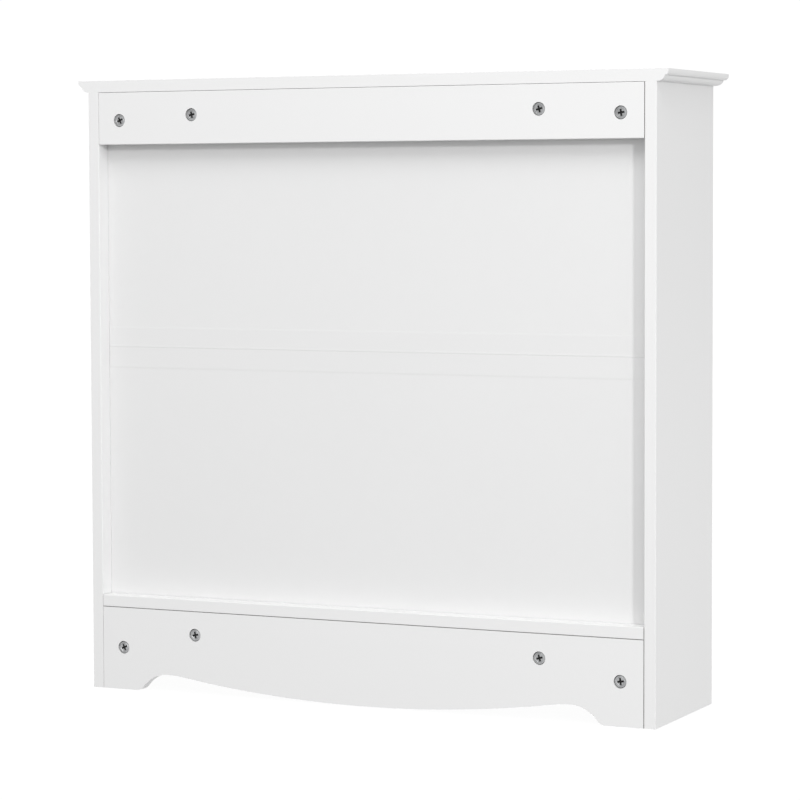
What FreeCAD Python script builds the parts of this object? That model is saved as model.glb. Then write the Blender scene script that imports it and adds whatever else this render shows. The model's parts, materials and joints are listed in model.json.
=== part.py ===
"""Flat-pack bathroom wall cabinet: two inset doors, a moulded cap and scalloped feet.

Millimetres. +Z is up, the doors face -Y and the back faces +Y. The origin is at the bottom centre
of the whole cabinet, knobs included.
"""
import FreeCAD, Part
import math
import os

Vector = FreeCAD.Vector

# ---------------------------------------------------------------- driving dimensions
# carcase
BODY_WIDTH = 625.0
BODY_HEIGHT = 621.0
BODY_DEPTH = 164.0
BOARD = 12.0
ARRIS = 0.7
JOINT_GAP = 0.3

# cap board and its moulding
CAP_OVERHANG = 12.0
CAP_NOSE_IN = 3.0
CAP_NOSE_FLAT = 1.2
CAP_LEDGE = 1.2
CAP_LEDGE_DROP = 6.2
CAP_FOOT_FLAT = 0.6

# rails
TOP_RAIL_HEIGHT = 54.0
BASE_RAIL_HEIGHT = 86.0
FOOT_WIDTH = 40.0
STEP_RUN = 36.5
STEP_FOOT_RADIUS = 9.5
ARCH_HEIGHT = 18.2
CROWN_RADIUS = 110.0
BELLY_CLEARANCE = 0.8

# back panel, folded across the middle and taped
PANEL_THICKNESS = 3.0
PANEL_RECESS = 18.0
PANEL_TONGUE = 4.0
PANEL_SLACK = 0.35
PANEL_TOP_GAP = 2.0
FOLD_GAP = 0.6
TAPE_WIDTH = 43.0
TAPE_THICKNESS = 0.2

# cam locks and their bolts
CAM_RADIUS = 6.05
CAM_BORE_RADIUS = 6.65
CAM_WEB = 1.8
CAM_SINK = 1.2
CAM_RING_RADIUS = 4.5
CAM_RING_WALL = 0.9
CAM_RING_HEIGHT = 0.4
CAM_RECESS_DEPTH = 3.0
CAM_RECESS_RIM = 0.3
CAM_SETBACK = 24.5
BOLT_HEAD_WEB = 0.9
BOLT_HEAD_LENGTH = 2.5
BOLT_NECK_RADIUS = 1.9
BOLT_ROOM = 0.2
BOLT_TAPER = 1.0
BOLT_SHAFT_RADIUS = 2.9
BOLT_BORE_RADIUS = 3.4
BOLT_THREAD_LENGTH = 8.5
THREAD_PITCH = 1.7
THREAD_DEPTH = 0.5
THREAD_SLACK = 0.05
PILOT_END_SLACK = 0.5
INNER_CAM_INSET = 109.0
TOP_CAM_LOWERED = 2.2
BASE_CAM_RAISED = 0.9
CAM_TURN_STEP = 37.0
SIDE_CAM_INSET = 30.0
SIDE_CAM_BACK_INSET = 45.0

# wooden dowels
DOWEL_RADIUS = 3.0
DOWEL_IN_FACE = 8.5
DOWEL_IN_EDGE = 15.5
DOWEL_SLACK = 0.1
DOWEL_END_SLACK = 0.5
DOWEL_CHAMFER = 0.6
DOWEL_CAM_SPACING = 15.0
BASE_DOWEL_DROP = 16.0
BOTTOM_DOWEL_INSET = 45.0

# shelf
SHELF_SIDE_SLACK = 1.0
SHELF_BACK_SLACK = 1.5
SHELF_DOOR_GAP = 8.0
SHELF_PIN_RADIUS = 2.5
SHELF_PIN_SLACK = 0.1
SHELF_PIN_DEPTH = 8.0
SHELF_PIN_INSET = 26.0
SHELF_PIN_PITCH = 32.0
SHELF_HOLES_EACH_WAY = 2
SHELF_FLAG_LENGTH = 9.0
SHELF_FLAG_WIDTH = 8.0
SHELF_FLAG_THICKNESS = 2.0
SHELF_PIN_COLLAR = 1.4

# doors
DOOR_THICKNESS = 15.0
DOOR_END_GAP = 2.0
DOOR_MEETING_GAP = 2.0
DOOR_HINGE_GAP = 2.2
STILE_WIDTH = 46.0
RAIL_WIDTH = 46.0
STICKING = 4.0
GROOVE_DEPTH = 8.0
GROOVE_FROM_FRONT = 6.0
DOOR_PANEL_THICKNESS = 5.0
DOOR_PANEL_SLACK = 0.15
DOOR_PANEL_END_SLACK = 1.0

# butt hinges
HINGE_HEIGHT = 50.0
HINGE_INSET = 60.0
LEAF_THICKNESS = 0.9
LEAF_BACK_MARGIN = 2.0
KNUCKLE_RADIUS = 2.6
KNUCKLE_STANDOFF = 0.3
KNUCKLE_GAP = 0.3
PIN_RADIUS = 1.5
PIN_SLACK = 0.05
PIN_HEAD_RADIUS = 2.1
PIN_HEAD_HEIGHT = 1.2
PIN_CHAMFER = 0.3
HINGE_SCREW_LENGTH = 9.5
HINGE_SCREW_MARGIN = 9.0

# screws
SCREW_RADIUS = 1.5
SCREW_HEAD_RADIUS = 2.6
SCREW_HEAD_DEPTH = 1.1
SCREW_SLACK = 0.1

# cross drives, as shares of their own radius
CROSS_SLOT_SHARE = 0.42
CROSS_TIP_SHARE = 0.4
CROSS_HEAD_SHARE = 0.6

# knobs
KNOB_REACH = 24.0
KNOB_RADIUS = 14.0
KNOB_FOOT_RADIUS = 8.4
KNOB_FOOT_THICKNESS = 1.4
KNOB_WAIST_RADIUS = 5.3
KNOB_WAIST_HEIGHT = 8.0
KNOB_RIM_HEIGHT = 16.3
KNOB_RIM_ROUND = 2.4
KNOB_RIM_SWELL = 0.7
KNOB_INSET = 23.0
KNOB_ABOVE_DOOR_FOOT = 208.0
KNOB_SCREW_RADIUS = 2.0
KNOB_THREAD_DEPTH = 9.0
KNOB_HEAD_RADIUS = 4.0
KNOB_HEAD_HEIGHT = 2.4
KNOB_SCREW_SLACK = 0.1
KNOB_THREAD_SLACK = 1.0

# double magnetic catch
CATCH_BODY_WIDTH = 34.0
CATCH_EAR_WIDTH = 10.0
CATCH_EAR_THICKNESS = 3.0
CATCH_DEPTH = 14.0
CATCH_HEIGHT = 12.0
MAGNET_SIZE = Vector(12.0, 8.0, 7.0)
MAGNET_PROUD = 0.6
MAGNET_SLACK = 0.1
STRIKE_WIDTH = 14.0
STRIKE_HEIGHT = 10.0
STRIKE_THICKNESS = 1.2
STRIKE_SCREW_LENGTH = 10.0
CATCH_AIR_GAP = 0.3
CATCH_LIP = 0.5

# ---------------------------------------------------------------- places worked out from them
BACK_Y = (BODY_DEPTH + KNOB_REACH) / 2
FRONT_Y = BACK_Y - BODY_DEPTH
MIDDLE_Y = (BACK_Y + FRONT_Y) / 2
INNER_X = BODY_WIDTH / 2 - BOARD
RAIL_END_X = INNER_X - JOINT_GAP
BASE_RAIL_TOP = BASE_RAIL_HEIGHT - JOINT_GAP
CAM_BORE_DEPTH = BOARD - CAM_WEB
BOLT_HEAD_RADIUS = BOARD / 2 - CAM_WEB - BOLT_HEAD_WEB
TOP_OUTER_CAM_DROP = TOP_RAIL_HEIGHT / 2 + TOP_CAM_LOWERED
RAIL_MID_BACK_Y = BACK_Y - BOARD / 2
RAIL_MID_FRONT_Y = FRONT_Y + BOARD / 2
FLOOR_TOP = BASE_RAIL_HEIGHT + BOARD
PANEL_FRONT_Y = BACK_Y - PANEL_RECESS - PANEL_THICKNESS
PANEL_BOTTOM = FLOOR_TOP - PANEL_TONGUE
PANEL_TOP = BODY_HEIGHT - PANEL_TOP_GAP
FOLD_Z = (PANEL_BOTTOM + PANEL_TOP) / 2
DOOR_BACK_Y = FRONT_Y + DOOR_THICKNESS
DOOR_BOTTOM = FLOOR_TOP + DOOR_END_GAP
DOOR_TOP = BODY_HEIGHT - DOOR_END_GAP
DOOR_HEIGHT = DOOR_TOP - DOOR_BOTTOM
DOOR_OUTER_X = INNER_X - DOOR_HINGE_GAP
DOOR_INNER_X = DOOR_MEETING_GAP / 2
HINGE_AXIS_X = INNER_X - DOOR_HINGE_GAP / 2
HINGE_AXIS_Y = FRONT_Y - KNUCKLE_RADIUS - KNUCKLE_STANDOFF
LEAF_REACH = DOOR_THICKNESS - LEAF_BACK_MARGIN
SHELF_Z = FOLD_Z - BOARD / 2
SHELF_FRONT_Y = DOOR_BACK_Y + SHELF_DOOR_GAP
SHELF_BACK_Y = PANEL_FRONT_Y - SHELF_BACK_SLACK
SHELF_PIN_Z = SHELF_Z - SHELF_FLAG_THICKNESS - SHELF_PIN_RADIUS
KNOB_Z = DOOR_BOTTOM + KNOB_ABOVE_DOOR_FOOT
KNOB_X = DOOR_INNER_X + KNOB_INSET
CATCH_X = DOOR_INNER_X + CATCH_LIP + STRIKE_WIDTH / 2
CATCH_Z = BODY_HEIGHT - CATCH_HEIGHT / 2 - CATCH_LIP

X_AXIS = Vector(1, 0, 0)
Y_AXIS = Vector(0, 1, 0)
Z_AXIS = Vector(0, 0, 1)
SIDES = {"left": -1, "right": 1}


# ---------------------------------------------------------------- helpers
def span_box(low, high):
    """A box between two opposite corners."""
    size = high - low
    return Part.makeBox(size.x, size.y, size.z, low)


def eased_box(low, high, along):
    """A board whose edges that run along the named axes are slightly rounded."""
    box = span_box(low, high)
    axes = {"x": X_AXIS, "y": Y_AXIS, "z": Z_AXIS}
    edges = []
    for edge in box.Edges:
        direction = edge.tangentAt(edge.FirstParameter)
        if any(abs(direction.dot(axes[name])) > 0.9 for name in along):
            edges.append(edge)
    return box.makeFillet(ARRIS, edges)


def revolve(points, origin, axis, radial):
    """Turns an outline of (distance along the axis, radius) points into a round solid."""
    corners = [origin + axis * along + radial * radius for along, radius in points]
    face = Part.Face(Part.makePolygon(corners + corners[:1]))
    return face.revolve(origin, axis, 360)


def rod(origin, axis, length, radius):
    """A cylinder that starts at origin and runs along axis."""
    return Part.makeCylinder(radius, length, origin, axis)


def place(shape, origin, x_dir, z_dir):
    """Moves a shape from its own frame to origin, its X along x_dir and its Z along z_dir."""
    moved = shape.copy()
    rotation = FreeCAD.Rotation(x_dir, z_dir.cross(x_dir), z_dir, "ZXY")
    moved.Placement = FreeCAD.Placement(origin, rotation)
    return moved


def mirrored(shape):
    """The same shape on the other side of the cabinet's middle."""
    return shape.mirror(Vector(0, 0, 0), X_AXIS)


def cross_recess(radius, depth, turn=0):
    """A cross drive recess that narrows downwards from the XY plane."""
    slot = radius * CROSS_SLOT_SHARE
    bars = [span_box(Vector(-radius, -slot / 2, -depth), Vector(radius, slot / 2, 0)),
            span_box(Vector(-slot / 2, -radius, -depth), Vector(slot / 2, radius, 0))]
    cone = Part.makeCone(radius * CROSS_TIP_SHARE, radius, depth, Vector(0, 0, -depth), Z_AXIS)
    recess = bars[0].fuse(bars[1]).common(cone)
    recess.rotate(Vector(0, 0, 0), Z_AXIS, turn)
    return recess


# ---------------------------------------------------------------- boards
def cap_profile(corner, inward):
    """The cap's moulded edge at one end or mitre, from its top corner to its underside.

    inward points from the edge into the board. Two convex quarter ellipses with a ledge between.
    """
    def at(depth, drop):
        return corner + inward * depth - Z_AXIS * drop

    def quarter(start, finish):
        """An exact quarter ellipse that leaves start straight down and reaches finish level."""
        curve = Part.BezierCurve()
        curve.setPoles([at(*start), at(start[0], finish[1]), at(*finish)])
        curve.setWeight(2, math.sqrt(0.5))
        return curve.toShape()

    nose_foot = (CAP_NOSE_IN, CAP_LEDGE_DROP)
    ledge_end = (CAP_NOSE_IN + CAP_LEDGE, CAP_LEDGE_DROP)
    return [Part.makeLine(at(0, 0), at(0, CAP_NOSE_FLAT)),
            quarter((0, CAP_NOSE_FLAT), nose_foot),
            Part.makeLine(at(*nose_foot), at(*ledge_end)),
            quarter(ledge_end, (CAP_OVERHANG - CAP_FOOT_FLAT, BOARD))]


def top_board():
    """The cap: moulded on its front and both ends with mitred corners, flat at the back."""
    top = BODY_HEIGHT + BOARD
    half = BODY_WIDTH / 2 + CAP_OVERHANG
    front = FRONT_Y - CAP_OVERHANG
    stations = [cap_profile(Vector(-half, BACK_Y, top), X_AXIS),
                cap_profile(Vector(-half, front, top), X_AXIS + Y_AXIS),
                cap_profile(Vector(half, front, top), Y_AXIS - X_AXIS),
                cap_profile(Vector(half, BACK_Y, top), -X_AXIS)]
    faces = []
    for here, there in zip(stations, stations[1:]):
        faces += [Part.makeRuledSurface(edge, other) for edge, other in zip(here, there)]
    uppers = [profile[0].valueAt(profile[0].FirstParameter) for profile in stations]
    lowers = [profile[-1].valueAt(profile[-1].LastParameter) for profile in stations]
    for corners in (uppers, lowers):
        faces.append(Part.Face(Part.makePolygon(corners + corners[:1])))
    ends = stations[0] + stations[-1]
    ends += [Part.makeLine(uppers[0], uppers[-1]), Part.makeLine(lowers[0], lowers[-1])]
    faces.append(Part.Face(Part.Wire(Part.__sortEdges__(ends))))
    shell = Part.makeShell(faces)
    shell.sewShape()
    return Part.makeSolid(shell)


def base_rail(front_y):
    """A rail with a scalloped lower edge: flat feet, a step up to an arch, and a long low belly.

    The step and the long ogee are each two tangent arcs that are level at their outer ends.
    """
    foot_x = INNER_X - FOOT_WIDTH
    arch_x = foot_x - STEP_RUN
    step_turn = 2 * math.atan2(ARCH_HEIGHT, STEP_RUN)
    shoulder_radius = STEP_RUN / math.sin(step_turn) - STEP_FOOT_RADIUS
    turn = 2 * math.atan2(ARCH_HEIGHT - BELLY_CLEARANCE, arch_x)
    belly_radius = arch_x / math.sin(turn) - CROWN_RADIUS

    def at(x, z):
        return Vector(x, front_y, z)

    def on_circle(x, z, radius, angle):
        """A point on the circle whose lowest point is (x, z), or highest if radius is negative."""
        return at(x + radius * math.sin(angle), z + radius * (1 - math.cos(angle)))

    def arc(x, z, radius, start, end):
        points = [on_circle(x, z, radius, angle) for angle in (start, (start + end) / 2, end)]
        return Part.Arc(*points).toShape()

    edges = [arc(0, BELLY_CLEARANCE, belly_radius, -turn, turn)]
    for sign in SIDES.values():
        edges += [arc(sign * arch_x, ARCH_HEIGHT, -CROWN_RADIUS, 0, sign * turn),
                  arc(sign * arch_x, ARCH_HEIGHT, -shoulder_radius, 0, -sign * step_turn),
                  arc(sign * foot_x, 0, STEP_FOOT_RADIUS, 0, -sign * step_turn),
                  Part.makeLine(at(sign * foot_x, 0), at(sign * RAIL_END_X, 0)),
                  Part.makeLine(at(sign * RAIL_END_X, 0), at(sign * RAIL_END_X, BASE_RAIL_TOP))]
    edges.append(Part.makeLine(at(-RAIL_END_X, BASE_RAIL_TOP), at(RAIL_END_X, BASE_RAIL_TOP)))
    outline = Part.Wire(Part.__sortEdges__(edges))
    return Part.Face(outline).extrude(Y_AXIS * BOARD)


def side_panel(sign):
    """A plain side, grooved near its back for the back panel."""
    outer = sign * BODY_WIDTH / 2
    inner = sign * INNER_X
    panel = eased_box(Vector(min(outer, inner), FRONT_Y, 0),
                      Vector(max(outer, inner), BACK_Y, BODY_HEIGHT), "z")
    bottom = inner + sign * (PANEL_TONGUE + PANEL_SLACK)
    back = PANEL_FRONT_Y + PANEL_THICKNESS
    groove = span_box(Vector(min(inner, bottom), PANEL_FRONT_Y - PANEL_SLACK, PANEL_BOTTOM - PANEL_SLACK),
                      Vector(max(inner, bottom), back + PANEL_SLACK, BODY_HEIGHT))
    return panel.cut(groove)


def bottom_board():
    """The cabinet's floor, grooved for the back panel."""
    board = eased_box(Vector(-RAIL_END_X, FRONT_Y, BASE_RAIL_HEIGHT),
                      Vector(RAIL_END_X, BACK_Y, FLOOR_TOP), "x")
    back = PANEL_FRONT_Y + PANEL_THICKNESS
    groove = span_box(Vector(-INNER_X, PANEL_FRONT_Y - PANEL_SLACK, PANEL_BOTTOM - PANEL_SLACK),
                      Vector(INNER_X, back + PANEL_SLACK, FLOOR_TOP))
    return board.cut(groove)


def back_half(bottom, top):
    """One leaf of the back panel, with its ends in the side grooves."""
    half = INNER_X + PANEL_TONGUE
    return span_box(Vector(-half, PANEL_FRONT_Y, bottom), Vector(half, PANEL_FRONT_Y + PANEL_THICKNESS, top))


def fold_tape():
    """The strip of tape that hinges the two leaves of the back panel while it is packed."""
    face = PANEL_FRONT_Y + PANEL_THICKNESS
    half = INNER_X - PANEL_SLACK
    return span_box(Vector(-half, face, FOLD_Z - TAPE_WIDTH / 2),
                    Vector(half, face + TAPE_THICKNESS, FOLD_Z + TAPE_WIDTH / 2))


# ---------------------------------------------------------------- cam locks, bolts and dowels
def cam_lock(turn):
    """A cam lock. Its face looks along +Z and its mouth, where the bolt comes in, along +X."""
    top = -CAM_SINK
    bottom = -CAM_BORE_DEPTH + THREAD_SLACK
    axis_z = -BOARD / 2
    body = rod(Vector(0, 0, bottom), Z_AXIS, top - bottom, CAM_RADIUS)
    ring = rod(Vector(0, 0, top), Z_AXIS, CAM_RING_HEIGHT, CAM_RING_RADIUS)
    ring = ring.cut(rod(Vector(0, 0, top), Z_AXIS, CAM_RING_HEIGHT, CAM_RING_RADIUS - CAM_RING_WALL))
    body = body.fuse(ring)
    recess = cross_recess(CAM_RING_RADIUS - CAM_RING_WALL - CAM_RECESS_RIM, CAM_RECESS_DEPTH, turn)
    recess.translate(Vector(0, 0, top))
    head_room = BOLT_HEAD_RADIUS + BOLT_ROOM
    neck_room = BOLT_NECK_RADIUS + BOLT_ROOM
    head_end = BOLT_HEAD_LENGTH / 2 + BOLT_ROOM
    pocket = span_box(Vector(-head_end, -head_room, -CAM_BORE_DEPTH), Vector(head_end, head_room, axis_z))
    pocket = pocket.fuse(rod(Vector(-head_end, 0, axis_z), X_AXIS, 2 * head_end, head_room))
    throat = span_box(Vector(0, -neck_room, -CAM_BORE_DEPTH), Vector(CAM_RADIUS, neck_room, axis_z))
    throat = throat.fuse(rod(Vector(0, 0, axis_z), X_AXIS, CAM_RADIUS, neck_room))
    return body.cut(recess).cut(pocket.fuse(throat))


def cam_bolt():
    """The bolt in the cam's own frame: head at the cam's centre, thread past the board's end."""
    half_head = BOLT_HEAD_LENGTH / 2
    neck_end = CAM_BORE_RADIUS + BOLT_TAPER
    root = BOLT_SHAFT_RADIUS - THREAD_DEPTH
    points = [(-half_head, 0), (-half_head, BOLT_HEAD_RADIUS), (half_head, BOLT_HEAD_RADIUS),
              (half_head, BOLT_NECK_RADIUS), (neck_end, BOLT_NECK_RADIUS),
              (neck_end + BOLT_TAPER, BOLT_SHAFT_RADIUS), (CAM_SETBACK, BOLT_SHAFT_RADIUS)]
    for index in range(int(BOLT_THREAD_LENGTH / THREAD_PITCH)):
        start = CAM_SETBACK + index * THREAD_PITCH
        points += [(start + THREAD_PITCH / 3, root), (start + THREAD_PITCH, BOLT_SHAFT_RADIUS)]
    points += [(CAM_SETBACK + BOLT_THREAD_LENGTH + THREAD_DEPTH, root),
               (CAM_SETBACK + BOLT_THREAD_LENGTH + THREAD_DEPTH, 0)]
    return revolve(points, Vector(0, 0, -BOARD / 2), X_AXIS, Z_AXIS)


def cam_bores():
    """What the board with the cam loses: the cam's bore and the bolt's bore."""
    bore = rod(Vector(0, 0, -CAM_BORE_DEPTH), Z_AXIS, CAM_BORE_DEPTH, CAM_BORE_RADIUS)
    return bore.fuse(rod(Vector(0, 0, -BOARD / 2), X_AXIS, CAM_SETBACK, BOLT_BORE_RADIUS))


def bolt_pilot():
    """What the board that takes the bolt's thread loses."""
    return rod(Vector(CAM_SETBACK, 0, -BOARD / 2), X_AXIS, BOLT_THREAD_LENGTH + PILOT_END_SLACK,
               BOLT_SHAFT_RADIUS + THREAD_SLACK)


def cam_joints():
    """Every cam lock: (group, board it sits in, board it pulls on, centre, face normal, bolt way)."""
    end_x = INNER_X - CAM_SETBACK
    inner_x = INNER_X - INNER_CAM_INSET
    top_z = BODY_HEIGHT - CAM_SETBACK
    base_z = BASE_RAIL_HEIGHT - CAM_SETBACK
    joints = []
    for side, sign in SIDES.items():
        panel = "side_panel_" + side
        outward = X_AXIS * sign
        outer = Vector(sign * end_x, BACK_Y, BODY_HEIGHT - TOP_OUTER_CAM_DROP)
        inner = Vector(sign * inner_x, BACK_Y, top_z)
        joints.append(("cam_locks_back_top", "back_rail_top", panel, outer, Y_AXIS, outward))
        joints.append(("cam_locks_back_top", "back_rail_top", "top_board", inner, Y_AXIS, Z_AXIS))
        for group, rail, face_y in (("cam_locks_back_bottom", "back_rail_bottom", BACK_Y),
                                    ("cam_locks_apron", "front_apron", FRONT_Y + BOARD)):
            outer = Vector(sign * end_x, face_y, BASE_RAIL_HEIGHT / 2 + BASE_CAM_RAISED)
            inner = Vector(sign * inner_x, face_y, base_z)
            joints.append((group, rail, panel, outer, Y_AXIS, outward))
            joints.append((group, rail, "bottom_board", inner, Y_AXIS, Z_AXIS))
        for y in (FRONT_Y + SIDE_CAM_INSET, BACK_Y - SIDE_CAM_BACK_INSET):
            centre = Vector(sign * INNER_X, y, top_z)
            joints.append(("cam_locks_sides", panel, "top_board", centre, -outward, Z_AXIS))
    return joints


def dowel():
    """A chamfered dowel along Z. Z = 0 is the face of the board that takes its short end."""
    low, high = -DOWEL_IN_EDGE, DOWEL_IN_FACE
    tip = DOWEL_RADIUS - DOWEL_CHAMFER
    points = [(low, 0), (low, tip), (low + DOWEL_CHAMFER, DOWEL_RADIUS),
              (high - DOWEL_CHAMFER, DOWEL_RADIUS), (high, tip), (high, 0)]
    return revolve(points, Vector(0, 0, 0), Z_AXIS, X_AXIS)


def dowel_hole():
    """The hole for a dowel, through the joint face, with room at both ends."""
    low = -DOWEL_IN_EDGE - DOWEL_END_SLACK
    return rod(Vector(0, 0, low), Z_AXIS, DOWEL_IN_FACE + DOWEL_END_SLACK - low, DOWEL_RADIUS + DOWEL_SLACK)


def dowel_joints():
    """Every dowel: (board drilled in its edge, board drilled in its face, place, way into the face)."""
    joints = []
    for side, sign in SIDES.items():
        panel = "side_panel_" + side
        outward = X_AXIS * sign
        x = sign * INNER_X
        top_rail_z = BODY_HEIGHT - TOP_OUTER_CAM_DROP - DOWEL_CAM_SPACING
        base_z = BASE_RAIL_HEIGHT - BASE_DOWEL_DROP
        joints.append(("back_rail_top", panel, Vector(x, RAIL_MID_BACK_Y, top_rail_z), outward))
        joints.append(("back_rail_bottom", panel, Vector(x, RAIL_MID_BACK_Y, base_z), outward))
        joints.append(("front_apron", panel, Vector(x, RAIL_MID_FRONT_Y, base_z), outward))
        for y in (FRONT_Y + BOTTOM_DOWEL_INSET, BACK_Y - BOTTOM_DOWEL_INSET):
            joints.append(("bottom_board", panel, Vector(x, y, BASE_RAIL_HEIGHT + BOARD / 2), outward))
        middle = Vector(sign * (INNER_X + BOARD / 2), MIDDLE_Y, BODY_HEIGHT)
        joints.append((panel, "top_board", middle, Z_AXIS))
    return joints


def sideways(direction):
    """Any direction square to the one given."""
    return Y_AXIS if abs(direction.dot(Y_AXIS)) < 0.5 else Z_AXIS


# ---------------------------------------------------------------- shelf
def shelf():
    """The loose shelf."""
    half = INNER_X - SHELF_SIDE_SLACK
    return eased_box(Vector(-half, SHELF_FRONT_Y, SHELF_Z), Vector(half, SHELF_BACK_Y, SHELF_Z + BOARD), "x")


def shelf_pin_rows():
    """The two upright rows of shelf holes, as Y places."""
    return (SHELF_FRONT_Y + SHELF_PIN_INSET, SHELF_BACK_Y - SHELF_PIN_INSET)


def shelf_pin(sign, y):
    """One shelf pin: a peg in the side, a collar against it and a flag under the shelf."""
    face = Vector(sign * INNER_X, y, SHELF_PIN_Z)
    inward = X_AXIS * -sign
    peg = rod(face - inward * SHELF_PIN_DEPTH, inward, SHELF_PIN_DEPTH + SHELF_FLAG_LENGTH, SHELF_PIN_RADIUS)
    collar = rod(face, inward, SHELF_PIN_COLLAR, SHELF_PIN_RADIUS + SHELF_FLAG_THICKNESS)
    ends = sorted((sign * INNER_X, sign * (INNER_X - SHELF_FLAG_LENGTH)))
    flag = eased_box(Vector(ends[0], y - SHELF_FLAG_WIDTH / 2, SHELF_Z - SHELF_FLAG_THICKNESS),
                     Vector(ends[1], y + SHELF_FLAG_WIDTH / 2, SHELF_Z), "z")
    web = span_box(Vector(ends[0], y - SHELF_PIN_RADIUS / 2, SHELF_PIN_Z),
                   Vector(ends[1], y + SHELF_PIN_RADIUS / 2, SHELF_Z - SHELF_FLAG_THICKNESS / 2))
    return peg.fuse([collar, flag, web]).removeSplitter()


def shelf_holes(sign):
    """The holes in one side that the shelf pins can go in."""
    holes = []
    depth = SHELF_PIN_DEPTH + PILOT_END_SLACK
    radius = SHELF_PIN_RADIUS + SHELF_PIN_SLACK
    for y in shelf_pin_rows():
        for index in range(-SHELF_HOLES_EACH_WAY, SHELF_HOLES_EACH_WAY + 1):
            mouth = Vector(sign * INNER_X, y, SHELF_PIN_Z + index * SHELF_PIN_PITCH)
            holes.append(rod(mouth, X_AXIS * sign, depth, radius))
    return holes


# ---------------------------------------------------------------- screws
def countersunk(length):
    """A countersunk screw that points along -Z, its flat head at Z = 0."""
    points = [(0, 0), (0, SCREW_HEAD_RADIUS), (-SCREW_HEAD_DEPTH, SCREW_RADIUS),
              (-length + SCREW_RADIUS, SCREW_RADIUS), (-length, 0)]
    screw = revolve(points, Vector(0, 0, 0), Z_AXIS, X_AXIS)
    return screw.cut(cross_recess(SCREW_HEAD_RADIUS * CROSS_HEAD_SHARE, SCREW_HEAD_DEPTH))


def countersunk_hole(length):
    """The hole that a countersunk screw sits in."""
    radius = SCREW_RADIUS + SCREW_SLACK
    points = [(SCREW_SLACK, 0), (SCREW_SLACK, SCREW_HEAD_RADIUS + SCREW_SLACK),
              (0, SCREW_HEAD_RADIUS + SCREW_SLACK), (-SCREW_HEAD_DEPTH, radius),
              (-length - SCREW_SLACK, radius), (-length - SCREW_SLACK, 0)]
    return revolve(points, Vector(0, 0, 0), Z_AXIS, X_AXIS)


def pan_head(length, radius, head_radius, head_height):
    """A pan-head screw that points along -Z, its head standing on Z = 0."""
    points = [(-length, 0), (-length, radius), (0, radius), (0, head_radius),
              (head_height / 2, head_radius), (head_height, head_radius * CROSS_HEAD_SHARE), (head_height, 0)]
    screw = revolve(points, Vector(0, 0, 0), Z_AXIS, X_AXIS)
    recess = cross_recess(head_radius * CROSS_HEAD_SHARE, head_height / 2)
    recess.translate(Z_AXIS * head_height)
    return screw.cut(recess)


# ---------------------------------------------------------------- doors, drawn for the right-hand side
def frame_member(corner, length_dir, width_dir, width, length):
    """A door frame member with a groove and a bevel on its inner edge.

    corner is the end of its outer front edge, length_dir runs along it and width_dir points at the
    door panel.
    """
    groove_end = GROOVE_FROM_FRONT + DOOR_PANEL_THICKNESS + 2 * DOOR_PANEL_SLACK
    section = [(0, 0), (width - STICKING, 0), (width, STICKING), (width, GROOVE_FROM_FRONT),
               (width - GROOVE_DEPTH, GROOVE_FROM_FRONT), (width - GROOVE_DEPTH, groove_end),
               (width, groove_end), (width, DOOR_THICKNESS), (0, DOOR_THICKNESS)]
    points = [corner + width_dir * across + Y_AXIS * depth for across, depth in section]
    member = Part.Face(Part.makePolygon(points + points[:1])).extrude(length_dir * length)
    outer = []
    for edge in member.Edges:
        along = edge.tangentAt(edge.FirstParameter).dot(length_dir)
        across = (edge.CenterOfMass - corner).dot(width_dir)
        if abs(along) > 0.9 and abs(across) < 0.01:
            outer.append(edge)
    return member.makeFillet(ARRIS, outer)


def door_parts():
    """The right door: two stiles, two rails with tenons in their grooves, and a floating panel."""
    stile_foot = Vector(DOOR_OUTER_X, FRONT_Y, DOOR_BOTTOM)
    hinge_stile = frame_member(stile_foot, Z_AXIS, -X_AXIS, STILE_WIDTH, DOOR_HEIGHT)
    meeting_foot = Vector(DOOR_INNER_X, FRONT_Y, DOOR_BOTTOM)
    meeting_stile = frame_member(meeting_foot, Z_AXIS, X_AXIS, STILE_WIDTH, DOOR_HEIGHT)
    clear_left = DOOR_INNER_X + STILE_WIDTH
    clear_right = DOOR_OUTER_X - STILE_WIDTH
    tenon_start = clear_left - GROOVE_DEPTH
    length = clear_right + GROOVE_DEPTH - tenon_start
    rails = {}
    for name, z, way in (("bottom_rail", DOOR_BOTTOM, Z_AXIS), ("top_rail", DOOR_TOP, -Z_AXIS)):
        rail = frame_member(Vector(tenon_start, FRONT_Y, z), X_AXIS, way, RAIL_WIDTH, length)
        rails[name] = rail.cut(hinge_stile).cut(meeting_stile)
    overlap = GROOVE_DEPTH - DOOR_PANEL_END_SLACK
    panel_y = FRONT_Y + GROOVE_FROM_FRONT + DOOR_PANEL_SLACK
    panel = span_box(Vector(clear_left - overlap, panel_y, DOOR_BOTTOM + RAIL_WIDTH - overlap),
                     Vector(clear_right + overlap, panel_y + DOOR_PANEL_THICKNESS,
                            DOOR_TOP - RAIL_WIDTH + overlap))
    return {"hinge_stile": hinge_stile, "meeting_stile": meeting_stile, "panel": panel, **rails}


# ---------------------------------------------------------------- hinges, drawn for the right-hand side
def hinge_bottoms():
    """The Z of each hinge's lower end."""
    return (DOOR_BOTTOM + HINGE_INSET, DOOR_TOP - HINGE_INSET - HINGE_HEIGHT)


def knuckle_spans():
    """Where the three knuckles start and end, counted from the hinge's lower end."""
    length = (HINGE_HEIGHT - 2 * KNUCKLE_GAP) / 3
    return [(index * (length + KNUCKLE_GAP), index * (length + KNUCKLE_GAP) + length) for index in range(3)]


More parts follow.
